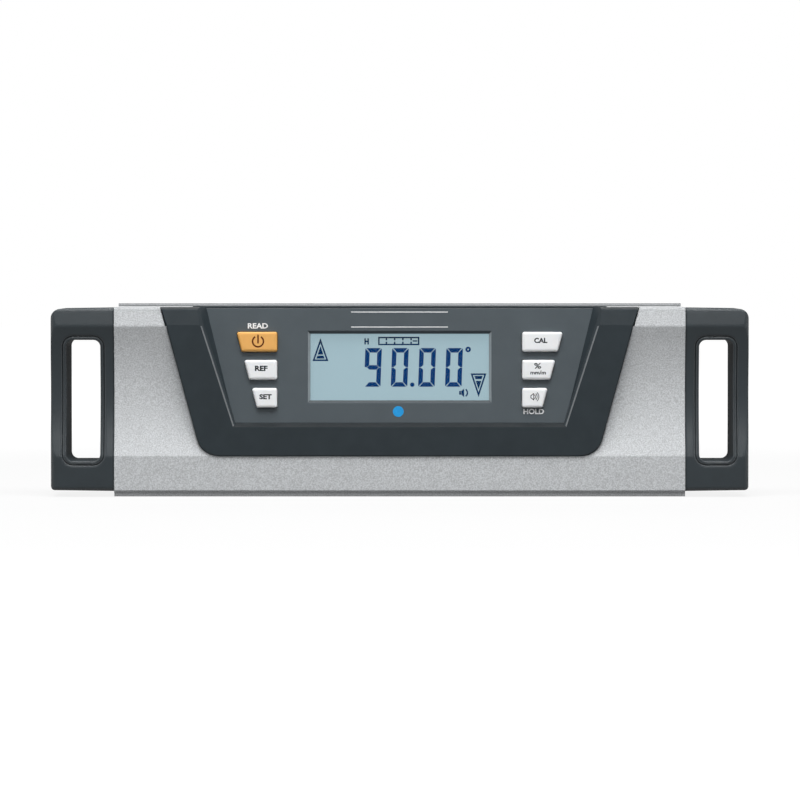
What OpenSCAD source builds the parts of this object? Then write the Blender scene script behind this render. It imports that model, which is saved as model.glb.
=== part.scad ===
// Digital angle gauge: an aluminium level body with moulded end caps, a tilted display and key
// panel in the front, and a battery tray in the back.
// Millimetres. X runs along the body, the front faces -Y and the measuring sole rests on Z = 0.

/* [Body] */
// Length of the aluminium extrusion
body_length = 184; // [170:1:230]
// Height from the sole to the flat top
body_height = 61; // [58:0.5:68]
// Depth from the front band to the flat back
body_depth = 27.5; // [26.5:0.5:34]
// Wall of the extrusion
wall = 2.2; // [1.9:0.1:2.6]
// Thickness of the sole
sole_thickness = 5; // [4.5:0.1:6]
// Height of the flat band under the hollow front
band_height = 13; // [12:0.5:15]
// Depth of the hollow along the front
scoop_depth = 2.6; // [1.5:0.1:3]
// Height of the sloping shoulder under the flat top
shoulder_height = 5.8; // [5:0.1:7]
// How far the shoulder leans back
shoulder_setback = 0.6; // [0.5:0.1:2.5]
// Round from the shoulder to the flat top
shoulder_round = 1.2; // [1:0.1:2.8]
// Height of the rail along the back of the top
rail_height = 1; // [0.5:0.1:2]
// Width of the rail along the back of the top
rail_width = 1.8; // [1.2:0.1:3]
// Height of the foot rails along the sole
foot_height = 1; // [0.6:0.1:1.6]
// How far the foot rails stand back from the faces
foot_step = 0.9; // [0.4:0.1:1.4]
// Outer diameter of the screw ports inside the extrusion
port_diameter = 5.6; // [5:0.1:6.4]

/* [End caps] */
// Length of an end cap beyond the extrusion
cap_length = 20.5; // [19.5:0.5:28]
// Wall of an end cap
cap_wall = 2.2; // [1.6:0.1:2.4]
// How far the cap's faces stay inside those of the extrusion
cap_inset = 0.3; // [0.1:0.05:0.6]
// Gap between the cap's underside and the sole plane
cap_lift = 1.7; // [1:0.1:2.4]
// Width of the hand slot through a cap
slot_width = 11; // [9:0.1:11.4]
// Height of the hand slot through a cap
slot_height = 39.1; // [30:0.1:40]
// Corner radius of the hand slot
slot_round = 2.2; // [1.5:0.1:4]
// How far the hand slot stands off the cap's middle, towards the body
slot_shift = 0.25; // [0:0.05:0.6]
// Width of the rim around the slot, with the groove that sets it off
rim_width = 1.4; // [1:0.1:1.6]
// Width of the groove around the rim
groove_width = 0.45; // [0.3:0.05:0.7]
// Depth of the groove around the rim
groove_depth = 0.5; // [0.3:0.1:1]
// Round of the cap's upper outer corner
cap_top_round = 3.3; // [1.5:0.1:4]
// Round of the cap's lower outer corner
cap_foot_round = 1.4; // [0.8:0.1:3]
// Round of the cap's upright outer edges
cap_edge_round = 1.8; // [1:0.1:2.6]
// Length of the cap's plug inside the extrusion
plug_length = 7; // [4:0.5:9]
// Shank diameter of the cap screws
cap_screw_diameter = 2.6; // [2.2:0.1:3]
// Head diameter of the cap screws
cap_screw_head = 5; // [4.4:0.1:5.4]

/* [Front bezel] */
// How far the bezel stands proud of the extrusion
bezel_proud = 0.5; // [0.3:0.05:1]
// Border from the panel to the bezel's outer edge, at the panel's foot
bezel_border = 13.9; // [12.5:0.1:17]
// Lean of the bezel's sides
bezel_side_angle = 15.2; // [13:0.1:16]
// Round of the bezel's lower corners
bezel_round = 7.6; // [5:0.1:9]
// Chamfer around the bezel's front edge
bezel_edge = 0.6; // [0.3:0.05:1]
// Width of the ledge on which the bezel sits
bezel_seat = 2; // [1.4:0.1:2.4]
// Width of the bevel around the panel recess
recess_bevel = 1.2; // [0.8:0.05:1.3]
// Depth of the bevel around the panel recess
recess_bevel_depth = 0.7; // [0.4:0.05:0.9]
// Height of the bezel's lip over the panel's top edge
bezel_lip = 0.6; // [0.4:0.05:0.9]
// Width of the recess wall at the panel's foot
recess_foot = 1.8; // [1.6:0.05:2.2]
// Lean of the recess's sides
recess_side_angle = 17.8; // [16.5:0.1:19]

/* [Control panel] */
// Tilt of the panel, top edge back
panel_tilt = 4.5; // [3:0.1:5]
// Depth of the panel behind the bezel's face at its foot
panel_lip = 1.4; // [1.2:0.05:1.8]
// Lean of the panel's sides
panel_side_angle = 13.8; // [12.5:0.1:15]
// Flange of the panel behind the bezel
panel_flange = 1.5; // [1:0.1:1.8]
// Panel above the display
display_head = 8.1; // [7:0.1:9]
// Panel below the display
display_foot = 6.8; // [6.4:0.1:9]

/* [Display] */
// Width of the visible display
display_width = 57.6; // [52:0.2:62]
// Height of the visible display
display_height = 21.5; // [20:0.1:22.5]
// Depth and width of the bevel around the display
display_bevel = 0.9; // [0.6:0.05:1.1]
// Thickness of the clear window
lens_thickness = 0.8; // [0.6:0.05:1.2]
// Thickness of the foam gasket
gasket_thickness = 0.5; // [0.3:0.05:0.8]
// Thickness of each glass of the display cell
glass_thickness = 1.1; // [0.7:0.05:1.3]
// Thickness of the light guide behind the cell
light_thickness = 2.5; // [2:0.1:3]
// Wall of the frame around the cell
holder_wall = 1.2; // [0.9:0.1:1.4]

/* [Keys] */
// Height of a key
key_height = 6.4; // [5.8:0.1:6.9]
// Spacing of the key rows
key_pitch = 9.05; // [8.6:0.05:9.6]
// Width of the lowest keys
key_width = 7.4; // [6.8:0.1:9]
// How far the keys stand out of the panel
key_rise = 1.3; // [0.9:0.05:1.8]
// Travel of a key
key_travel = 0.5; // [0.3:0.05:0.6]
// Panel outside the lowest keys
key_margin = 8; // [7:0.1:10]
// Corner radius of a key
key_round = 0.7; // [0.3:0.05:1]
// Width of the flange that keeps a key behind the panel
key_flange = 0.7; // [0.5:0.05:0.8]

/* [Circuit board] */
// Thickness of the circuit board
board_thickness = 1.6; // [1.2:0.1:1.8]
// Side of a square key switch
switch_side = 6; // [5:0.1:6.4]
// Diameter of a switch plunger
plunger_diameter = 3.2; // [2.6:0.1:3.6]
// Diameter of the posts that carry the board
post_diameter = 4.4; // [4:0.1:4.8]
// Shank diameter of the board screws
board_screw_diameter = 1.6; // [1.3:0.1:1.8]

/* [Battery tray] */
// Diameter of a cell
cell_diameter = 10.4; // [10:0.1:10.5]
// Length of a cell with its tip
cell_length = 44.5; // [42:0.1:46]
// Length of the contact springs in place
spring_length = 4; // [3:0.1:5]
// Wall of the battery tray
tray_wall = 1.4; // [1.2:0.1:1.8]
// Thickness of the tray's flange in the back of the body
tray_flange = 1.2; // [1:0.05:1.3]
// Thickness of the battery door
door_thickness = 1.5; // [1.3:0.05:1.8]
// Shank diameter of the tray screws
tray_screw_diameter = 1.9; // [1.6:0.05:2.1]

/* [Magnets] */
// Diameter of the magnets in the sole
magnet_diameter = 10; // [8:0.1:12]
// Height of the magnets in the sole
magnet_height = 2.8; // [2:0.1:3]
// Distance of the outer magnets from the ends of the extrusion
magnet_margin = 23; // [18:0.5:30]

/* [Fits] */
// Gap around pieces that are set into one another
fit_gap = 0.15; // [0.1:0.01:0.2]
// Gap around the bezel's shoulder and along its seat
seam_gap = 0.3; // [0.2:0.05:0.4]
// Gap around the keys
key_gap = 0.15; // [0.1:0.01:0.25]
// Radial gap of pins and screws in their bores
bore_gap = 0.05; // [0.03:0.01:0.1]

/* [Hidden] */
$fn = 48;

// Planes of the body
body_front = (bezel_proud - body_depth) / 2;
body_back = body_front + body_depth;
bezel_front = body_front - bezel_proud;
body_middle = (body_front + body_back) / 2;

// Middle of the right hand slot
slot_x = (body_length + cap_length) / 2 - slot_shift;
slot_z = (cap_lift + body_height - cap_inset) / 2 - 0.35;

ridge = body_height - shoulder_height;
ridge_land = 0.5;
shoulder_angle = atan(shoulder_setback / shoulder_height);

// Hollow of the front, an arc from the band to the ridge
scoop_top = ridge - ridge_land;
scoop_chord = scoop_top - band_height;
scoop_radius = (pow(scoop_chord / 2, 2) + pow(scoop_depth, 2)) / (2 * scoop_depth);
scoop_y = body_front + scoop_depth - scoop_radius;
scoop_z = (scoop_top + band_height) / 2;

// Screw ports of the extrusion
port_y = body_middle + 4;
upper_port = body_height - wall - port_diameter / 2 + 0.3;
lower_port = sole_thickness + port_diameter / 2 - 1.6;

// Stack behind the panel, measured inwards from its front face
panel_thickness = display_bevel + lens_thickness;
glass_front = panel_thickness + gasket_thickness;
light_front = glass_front + 2 * glass_thickness;
board_front = light_front + light_thickness;
board_back = board_front + board_thickness;
flange_thickness = 1;
flange_front = panel_thickness + 0.05;
flange_back = flange_front + flange_thickness;
switch_front = flange_back + key_travel + 0.25;
plunger_length = key_travel + 1.2;

// Panel in the body: its frame has its origin at the middle of the panel's top edge
panel_height = display_head + display_height + display_foot;
panel_z = body_height - 0.5;
panel_y = bezel_front + panel_lip + panel_height * sin(panel_tilt);
panel_foot = panel_z - panel_height * cos(panel_tilt);
display_v = -display_head - display_height / 2;
key_drop = 1;

// Display cell with ledges for the contact strips
lcd_margin = 2.2;
lcd_edge = 1.6;
lcd_ledge = 2;
lcd_width = display_width + 2 * lcd_margin;
lcd_height = display_height + 2 * lcd_edge;
front_glass_height = lcd_height + 2 * lcd_ledge;
lens_lap = 1.7;
holder_half = lcd_width / 2 + fit_gap + holder_wall;
holder_half_height = front_glass_height / 2 + fit_gap + holder_wall;

// Columns on the panel
board_screw_length = 5;
post_x = holder_half + 0.6 + post_diameter / 2;
post_v = 12.4;
key_clear = 1.4;
key_inner = post_x + post_diameter / 2 + key_clear + key_flange;
board_half = key_inner + key_width + 4.2;
board_half_height = holder_half_height + 0.35;

// Window of the body behind the bezel
notch_y = max(panel_y + panel_thickness + seam_gap, body_front + scoop_depth + wall + 0.5);
bezel_back = notch_y - seam_gap;
bezel_foot = band_height - 0.2;
notch_z = scoop_top + 0.1;

// Magnets along the sole
magnet_count = 4;
magnet_pitch = (body_length - 2 * magnet_margin) / (magnet_count - 1);

// Battery tray
contact_thickness = 0.4;
contact_half = 4.2;
contact_width = 8.6;
tray_screw_length = 4.5;
cell_gap = 0.5;
cell_radius = cell_diameter / 2;
tray_z = (sole_thickness + body_height - wall) / 2;
tray_length = cell_length + spring_length + 2 * contact_thickness + 0.2;
tray_height = 2 * cell_diameter + 3 * cell_gap;
cell_y = body_back - door_thickness - 0.3 - cell_radius;
cell_rise = (cell_diameter + cell_gap) / 2;
tray_floor = cell_y - cell_radius - fit_gap;
door_lap = 0.8;
door_seat = body_back - door_thickness;
ear_length = 6.4;
flange_lap = 2;
tray_half = tray_length / 2 + tray_wall;
tray_half_height = tray_height / 2 + tray_wall;
tray_screw_x = tray_half + ear_length / 2;
tray_screw_z = 8;

// Names of the keys, left column first, each from top to bottom
KEYS = ["power", "reference", "set", "calibrate", "unit", "hold"];
MAGNETS = ["sole_magnet_1", "sole_magnet_2", "sole_magnet_3", "sole_magnet_4"];

// Arc of radius r that rounds the corner b between a and c
function corner(a, b, c, r) =
    r <= 0 ? [b] :
    let (
        u = (a - b) / norm(a - b),
        v = (c - b) / norm(c - b),
        half = acos(u * v) / 2,
        centre = b + (u + v) / norm(u + v) * r / sin(half),
        start = b + u * r / tan(half) - centre,
        turn = -sign(cross(u, v)) * (180 - 2 * half)
    )
    [for (i = [0 : 6]) let (t = turn * i / 6)
        centre + [start[0] * cos(t) - start[1] * sin(t), start[0] * sin(t) + start[1] * cos(t)]];

// Outline through points given as [x, y, radius]
function outline(p) =
    let (n = len(p), q = [for (k = p) [k[0], k[1]]])
    [for (i = [0 : n - 1]) each corner(q[(i + n - 1) % n], q[i], q[(i + 1) % n], p[i][2])];

// Half widths of the bezel and the recess at a height, and of the panel at a place along it
function row_v(row) = display_v - key_drop + (1 - row) * key_pitch;
function panel_half(v) =
    key_inner + key_width + key_margin + (v - row_v(2)) * tan(panel_side_angle);
foot_half = panel_half(-panel_height);
function bezel_half(z) = foot_half + bezel_border + (z - panel_foot) * tan(bezel_side_angle);
function recess_half(z) = foot_half + 1.35 + (z - panel_foot) * tan(recess_side_angle);

// Places of the keys: 0 to 2 on the left, 3 to 5 on the right
function key_side(i) = i < 3 ? -1 : 1;
function key_outer(i, v) =
    key_inner + key_width + (v - row_v(2)) * tan(bezel_side_angle);
function key_x(i) = key_side(i) * (key_inner + key_outer(i, row_v(i % 3))) / 2;

// Extrusions along the length and through the depth
module along_x(length) {
    rotate([90, 0, 90])
        linear_extrude(length, center = true)
            children();
}

module along_y(y0, y1) {
    translate([0, y1, 0])
        rotate([90, 0, 0])
            linear_extrude(y1 - y0)
                children();
}

module on_panel() {
    translate([0, panel_y, panel_z])
        rotate([90 - panel_tilt, 0, 0])
            children();
}

// Layer of the stack behind the panel, from one depth to another
module layer(near, far) {
    translate([0, 0, -far])
        linear_extrude(far - near)
            children();
}

module rounded(width, height, r) {
    x = width / 2;
    y = height / 2;
    polygon(outline([[-x, -y, r], [x, -y, r], [x, y, r], [-x, y, r]]));
}

// Section of the body, grown by g, between two heights
module section(g, foot, top) {
    back = body_back + g;
    front = body_front - g;
    lean = tan(shoulder_angle);
    turn = ridge + g * tan(shoulder_angle / 2);
    crown = body_front - g / cos(shoulder_angle) + (top - ridge) * lean;
    difference() {
        polygon(outline([
            [front + foot_step, foot, 0],
            [back - foot_step, foot, 0],
            [back - foot_step, foot + foot_height, 0],
            [back, foot + foot_height + foot_step, 0],
            [back, top, 0.6],
            [crown, top, shoulder_round],
            [front, turn, 0],
            [front, foot + foot_height + foot_step, 0],
            [front + foot_step, foot + foot_height, 0]
        ]));
        translate([scoop_y, scoop_z])
            circle(scoop_radius - g, $fn = 180);
    }
}

// Hollow of the extrusion, drawn in by g
module hollow(g) {
    inset = wall + g;
    top = body_height - inset;
    crown = body_front + inset / cos(shoulder_angle) + (top - ridge) * tan(shoulder_angle);
    difference() {
        polygon(outline([
            [body_front + inset, sole_thickness + g, 1.2],
            [body_back - inset, sole_thickness + g, 1.2],
            [body_back - inset, top, 1.2],
            [crown, top, 1.2],
            [body_front + inset, ridge - inset * tan(shoulder_angle / 2), 0]
        ]));
        translate([scoop_y, scoop_z])
            circle(scoop_radius + inset, $fn = 180);
    }
}

// Tapered front outline of the bezel, grown by g, up to a height
module bezel_shape(g, top) {
    foot = bezel_foot - g;
    low = bezel_half(foot) + g / cos(bezel_side_angle);
    high = bezel_half(top) + g / cos(bezel_side_angle);
    r = bezel_round + g;
    polygon(outline([[-low, foot, r], [low, foot, r], [high, top, 0], [-high, top, 0]]));
}

// Tapered outline of the panel, grown by g at the sides and foot, from its top edge
module panel_shape(g, top) {
    foot = -panel_height - g;
    low = panel_half(foot) + g / cos(panel_side_angle);
    high = panel_half(top) + g / cos(panel_side_angle);
    polygon([[-low, foot], [low, foot], [high, top], [-high, top]]);
}

// Outline of the recess in the bezel's face, drawn in by g
module recess_shape(g) {
    foot = panel_foot - recess_foot + g / 2;
    top = body_height + 6;
    low = recess_half(foot) - g;
    high = recess_half(top) - g;
    polygon([[-low, foot], [low, foot], [high, top], [-high, top]]);
}

// Outline of a key, grown by g
module key_shape(i, g) {
    s = key_side(i);
    v = row_v(i % 3);
    low = v - key_height / 2 - g;
    high = v + key_height / 2 + g;
    inner = key_inner - g;
    outer_low = key_outer(i, low) + g / cos(bezel_side_angle);
    outer_high = key_outer(i, high) + g / cos(bezel_side_angle);
    r = max(0.2, key_round + g);
    points = [[inner, low, r], [outer_low, low, r], [outer_high, high, r], [inner, high, r]];
    polygon(outline([for (p = points) [s * p[0], p[1], p[2]]]));
}

module body_extrusion() {
    color("Silver")
        difference() {
            along_x(body_length)
                difference() {
                    union() {
                        section(0, 0, body_height);
                        translate([body_back - rail_width, body_height - 1])
                            square([rail_width, rail_height + 1]);
                    }
                    difference() {
                        hollow(0);
                        translate([port_y, upper_port])
                            circle(d = port_diameter);
                        translate([port_y, lower_port])
                            circle(d = port_diameter);
                    }
                    translate([port_y, upper_port])
                        circle(d = cap_screw_diameter + 2 * bore_gap);
                    translate([port_y, lower_port])
                        circle(d = cap_screw_diameter + 2 * bore_gap);
                }
            along_y(bezel_front - 4, notch_y) {
                bezel_shape(-bezel_seat, body_height + 2);
                intersection() {
                    bezel_shape(seam_gap, body_height + 2);
                    translate([-body_length / 2, notch_z])
                        square([body_length, body_height]);
                }
            }
            along_y(body_back - wall - 1, body_back + 1)
                translate([0, tray_z])
                    rounded(2 * (tray_half + fit_gap), 2 * (tray_half_height + fit_gap), 1);
            along_y(body_back - tray_flange, body_back + 1)
                translate([0, tray_z])
                    tray_flange_shape(fit_gap);
            for (x = [-1, 1], z = [-1, 1])
                along_y(body_back - wall - 1, body_back + 1)
                    translate([x * tray_screw_x, tray_z + z * tray_screw_z])
                        circle(d = tray_screw_diameter + 2 * bore_gap);
            for (i = [0 : magnet_count - 1])
                translate([(i - (magnet_count - 1) / 2) * magnet_pitch, body_middle, -1])
                    cylinder(d = magnet_diameter + 2 * fit_gap, h = magnet_height + 1.2);
        }
}

module tray_flange_shape(g) {
    width = 2 * (tray_half + ear_length + g);
    height = 2 * (tray_half_height + flange_lap + g);
    rounded(width, height, 2 + g);
}

module sole_magnet(i) {
    color("DimGray")
        translate([(i - (magnet_count - 1) / 2) * magnet_pitch, body_middle, 0.2])
            cylinder(d = magnet_diameter, h = magnet_height);
}

// Blank of the right end cap: the body's section with its outer edges rounded
module cap_blank(g) {
    x0 = body_length / 2;
    x1 = x0 + cap_length - g;
    foot = cap_lift + g;
    top = body_height - cap_inset - g;
    front = body_front + cap_inset + g;
    back = body_back - cap_inset - g;
    edge = max(0.4, cap_edge_round - g);
    intersection() {
        translate([x0 + cap_length / 2, 0, 0])
            along_x(cap_length + 0.02)
                section(-cap_inset - g, foot - 1, top);
        along_y(bezel_front - 4, body_back + 4)
            polygon(outline([
                [x0, foot, 0],
                [x1, foot + 0.3, max(0.4, cap_foot_round - g)],
                [x1, top - 0.3, max(0.4, cap_top_round - g)],
                [x0, top, 0]
            ]));
        linear_extrude(body_height + 4)
            polygon(outline([[x0, front, 0], [x1, front, edge], [x1, back, edge], [x0, back, 0]]));
    }
}

// Outline of the hand slot of the right end cap, grown by g
module slot_shape(g) {
    translate([slot_x, slot_z])
        rounded(slot_width + 2 * g, slot_height + 2 * g, slot_round + g);
}

// Wall around the hand slot, solid out to the cap's end
module slot_wall() {
    height = slot_height + 2 * (rim_width + 1);
    slot_shape(rim_width + 1);
    translate([slot_x, slot_z - height / 2])
        square([cap_length, height]);
}

module end_cap() {
    x0 = body_length / 2;
    seat = x0 + 6;
    difference() {
        union() {
            difference() {
                cap_blank(0);
                difference() {
                    cap_blank(cap_wall);
                    along_y(body_front, body_back)
                        slot_wall();
                    for (z = [upper_port, lower_port])
                        translate([x0, port_y, z])
                            rotate([0, 90, 0])
                                cylinder(d = cap_screw_head + 3.2, h = cap_length);
                }
            }
            plug();
        }
        along_y(bezel_front - 4, body_back + 4)
            slot_shape(0);
        difference() {
            along_y(bezel_front - 4, body_back + 4)
                difference() {
                    slot_shape(rim_width);
                    slot_shape(rim_width - groove_width);
                }
            translate([x0 + cap_length / 2, 0, 0])
                along_x(cap_length + 2)
                    section(-cap_inset - groove_depth, 0, body_height);
        }
        for (z = [upper_port, lower_port]) {
            translate([x0 - plug_length - 1, port_y, z])
                rotate([0, 90, 0])
                    cylinder(d = cap_screw_diameter + 4 * bore_gap, h = cap_length);
            translate([seat, port_y, z])
                rotate([0, 90, 0])
                    cylinder(d = cap_screw_head + 4 * bore_gap, h = cap_length);
        }
    }
}

// Plug of the right end cap: a frame inside the extrusion, clear of its screw ports
module plug() {
    depth = plug_length + cap_wall + 1;
    translate([body_length / 2 - plug_length + depth / 2, 0, 0])
        along_x(depth)
            difference() {
                hollow(fit_gap);
                hollow(fit_gap + 1.6);
                for (z = [upper_port, lower_port])
                    translate([port_y, z])
                        circle(d = port_diameter + 2 * fit_gap);
            }
}

module right_end_cap() {
    color("DarkSlateGray")
        end_cap();
}

module left_end_cap() {
    color("DarkSlateGray")
        mirror([1, 0, 0])
            end_cap();
}

// Four screws that hold the end caps, heads sunk in the caps
module cap_screws() {
    seat = body_length / 2 + 6;
    color("Gainsboro")
        for (side = [-1, 1], z = [upper_port, lower_port])
            translate([side * seat, port_y, z])
                rotate([0, side * 90, 0])
                    difference() {
                        rotate_extrude()
                            polygon([
                                [0, -16],
                                [cap_screw_diameter / 2 - 0.6, -16],
                                [cap_screw_diameter / 2, -15],
                                [cap_screw_diameter / 2, 0.01],
                                [cap_screw_head / 2, 0.01],
                                [cap_screw_head / 2, 1.6],
                                [cap_screw_head / 2 - 0.7, 2.2],
                                [0, 2.2]
                            ]);
                        screw_cross(2.6, 0.7, 1.1, 2.2);
                    }
}

// Cross recess in a screw head whose top is at the given height
module screw_cross(length, width, depth, top) {
    for (a = [0, 90])
        rotate([0, 0, a])
            translate([-length / 2, -width / 2, top - depth])
                cube([length, width, depth + 1]);
}

module front_bezel() {
    lip_front = panel_y + 0.25;
    lip_half = recess_half(body_height) + 0.6;
    color("DarkSlateGray")
        union() {
            bezel_frame();
            translate([-lip_half, lip_front, panel_z + fit_gap])
                cube([2 * lip_half, bezel_back - 0.2 - lip_front, bezel_lip]);
        }
}

// Frame of the bezel around the panel, open at the top
module bezel_frame() {
    inner = bezel_seat + fit_gap;
    hook_y = body_front + scoop_depth + wall + 0.1;
    top = body_height + 2;
    difference() {
        union() {
            difference() {
                intersection() {
                    along_x(body_length)
                        bezel_section();
                    hull() {
                        along_y(bezel_front - 0.2, bezel_front)
                            bezel_shape(-bezel_edge, top);
                        along_y(bezel_front + bezel_edge, bezel_back + 1)
                            bezel_shape(0, top);
                    }
                }
                difference() {
                    along_x(body_length)
                        intersection() {
                            section(0.05, 0, body_height);
                            translate([-body_depth, -1])
                                square([2 * body_depth, notch_z + 1 + seam_gap]);
                        }
                    along_y(bezel_front - 4, bezel_back + 4)
                        bezel_shape(-inner, top);
                }
            }
            along_y(hook_y, bezel_back + 1.6)
                intersection() {
                    difference() {
                        bezel_shape(1.1 - bezel_seat, top);
                        bezel_shape(-inner - 1.7, top);
                    }
                    translate([-body_length / 2, scoop_z - 4])
                        square([body_length, 8]);
                }
        }
        hull()
            for (depth = [-0.3, 1])
                along_y(bezel_front + depth - 0.001, bezel_front + depth)
                    recess_shape(depth * recess_bevel / recess_bevel_depth);
        hull() {
            along_y(bezel_front + 0.3, bezel_front + 0.31)
                recess_shape(recess_bevel);
            on_panel()
                translate([0, 0, -0.5])
                    linear_extrude(0.5)
                        panel_shape(0, 6);
        }
        on_panel()
            translate([0, 0, -20])
                linear_extrude(20.02)
                    panel_shape(panel_flange + fit_gap, 6);
        along_y(bezel_front + 2.6, bezel_back + 4)
            intersection() {
                difference() {
                    bezel_shape(-inner - 1.8, body_height - 2);
                    translate([0, panel_z])
                        panel_shape(panel_flange + fit_gap + 2, 6);
                }
                translate([-body_length / 2, 0])
                    square([body_length, ridge - 2]);
            }
    }
}

// Section of the bezel: flat front over the hollow, shoulder and top in line with the body's
module bezel_section() {
    lean = tan(shoulder_angle);
    turn = ridge + bezel_proud * tan(shoulder_angle / 2);
    crown = body_front - bezel_proud / cos(shoulder_angle) + shoulder_height * lean;
    polygon(outline([
        [bezel_front, bezel_foot - 1, 0],
        [bezel_back, bezel_foot - 1, 0],
        [bezel_back, body_height, 0],
        [crown, body_height, shoulder_round],
        [bezel_front, turn, 0.6]
    ]));
}

module control_panel() {
    color("SlateGray")
        on_panel()
            difference() {
                union() {
                    layer(0, panel_thickness)
                        panel_shape(panel_flange, 0);
                    posts()
                        cylinder(d = post_diameter, h = board_front - panel_thickness + 0.2);
                }
                hull() {
                    layer(-0.3, -0.29)
                        display_shape(display_bevel + 0.3);
                    layer(display_bevel - 0.01, display_bevel)
                        display_shape(0);
                }
                layer(display_bevel - 0.2, panel_thickness)
                    display_shape(0);
                layer(display_bevel, panel_thickness + 1)
                    display_shape(lens_lap + fit_gap);
                for (i = [0 : 5])
                    layer(-1, panel_thickness + 1)
                        key_shape(i, key_gap);
                posts()
                    translate([0, 0, -1])
                        cylinder(d = board_screw_diameter + 2 * bore_gap, h = board_screw_length);
            }
}

// Four places that carry the circuit board, at the board's front face
module posts() {
    for (x = [-1, 1], v = [-1, 1])
        translate([x * post_x, display_v + v * post_v, -board_front])
            children();
}

// Visible display area, grown by g
module display_shape(g) {
    translate([0, display_v])
        square([display_width + 2 * g, display_height + 2 * g], center = true);
}

module display_window() {
    color("LightSteelBlue", 0.4)
        on_panel()
            layer(display_bevel, panel_thickness)
                display_shape(lens_lap);
}

module display_gasket() {
    color("DarkGray")
        on_panel()
            layer(panel_thickness, glass_front)
                difference() {
                    display_shape(1.5);
                    display_shape(0.4);
                }
}

// Display cell: a front glass with contact ledges and a smaller rear glass
module lcd_cell() {
    color("CadetBlue")
        on_panel() {
            layer(glass_front, glass_front + glass_thickness)
                translate([0, display_v])
                    square([lcd_width, front_glass_height], center = true);
            layer(glass_front + glass_thickness - 0.01, light_front)
                translate([0, display_v])
                    square([lcd_width, lcd_height], center = true);
        }
}

module light_guide() {
    color("White")
        on_panel()
            layer(light_front, board_front)
                translate([0, display_v])
                    square([lcd_width - 2, lcd_height - 1], center = true);
}

// Rubber strip that joins the display's ledge to the board
module contact_strip(side) {
    color("LightPink")
        on_panel()
            layer(glass_front + glass_thickness, board_front)
                translate([0, display_v + side * (lcd_height + lcd_ledge) / 2])
                    square([display_width - 4, lcd_ledge - 0.5], center = true);
}

module display_holder() {
    color("WhiteSmoke")
        on_panel()
            layer(panel_thickness + 0.3, board_front)
                translate([0, display_v])
                    difference() {
                        rounded(2 * holder_half, 2 * holder_half_height, 1);
                        square([lcd_width + 2 * fit_gap, front_glass_height + 2 * fit_gap], center = true);
                    }
}

module circuit_board() {
    color("DarkGreen")
        on_panel()
            difference() {
                layer(board_front, board_back)
                    translate([0, display_v])
                        rounded(2 * board_half, 2 * board_half_height, 1);
                posts()
                    translate([0, 0, -board_thickness - 1])
                        cylinder(d = board_screw_diameter + 0.4, h = board_thickness + 2);
            }
}

module board_screws() {
    color("Gainsboro")
        on_panel()
            posts()
                translate([0, 0, -board_thickness])
                    rotate([180, 0, 0])
                        difference() {
                            rotate_extrude()
                                polygon([
                                    [0, -board_screw_length],
                                    [board_screw_diameter / 2, 0.4 - board_screw_length],
                                    [board_screw_diameter / 2, 0],
                                    [1.6, 0],
                                    [1.6, 0.7],
                                    [1.1, 1.1],
                                    [0, 1.1]
                                ]);
                            screw_cross(1.6, 0.45, 0.6, 1.1);
                        }
}

// Flat package on the back of the board
module package(x, v, width, height, thickness) {
    on_panel()
        layer(board_back, board_back + thickness)
            translate([x, display_v + v])
                rounded(width, height, 0.3);
}

module processor() {
    color("DimGray")
        package(-key_inner - 4.4, 6.6, 10, 10, 1.4);
}

module tilt_sensor() {
    color("Gold")
        package(key_inner + 4.4, 9, 6, 6, 1.8);
}

module radio_module() {
    color("LightGray")
        package(key_inner + 4.4, -5, 9, 12, 2.2);
}

module buzzer() {
    color("DimGray")
        on_panel()
            translate([-key_inner - 4.4, display_v - 7, -board_back - 3])
                difference() {
                    cylinder(d = 11, h = 3);
                    translate([0, 0, -1])
                        cylinder(d = 1.6, h = 2);
                }
}

// Key: pillowed cap through the panel and a flange behind it
module keycap(i) {
    on_panel() {
        hull() {
            layer(0.4 - key_rise, 0.5)
                key_shape(i, -0.02);
            layer(0.12 - key_rise, 0.13 - key_rise)
                key_shape(i, -0.3);
            layer(-key_rise, 0.01 - key_rise)
                key_shape(i, -0.8);
        }
        layer(0.3, flange_front + 0.1)
            key_shape(i, -0.02);
        layer(flange_front, flange_back)
            key_shape(i, key_flange);
    }
}

module switch_plunger(i) {
    color("Gray")
        on_panel()
            translate([key_x(i), row_v(i % 3), -flange_back - plunger_length])
                cylinder(d = plunger_diameter, h = plunger_length);
}

module key_switch(i) {
    top = board_front - switch_front;
    color("DarkGray")
        on_panel()
            translate([key_x(i), row_v(i % 3), -board_front])
                difference() {
                    linear_extrude(top)
                        rounded(switch_side, switch_side, 0.4);
                    translate([0, 0, board_front - flange_back - plunger_length - key_travel - 0.2])
                        cylinder(d = plunger_diameter + 2 * bore_gap, h = top + 4);
                }
}

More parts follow.
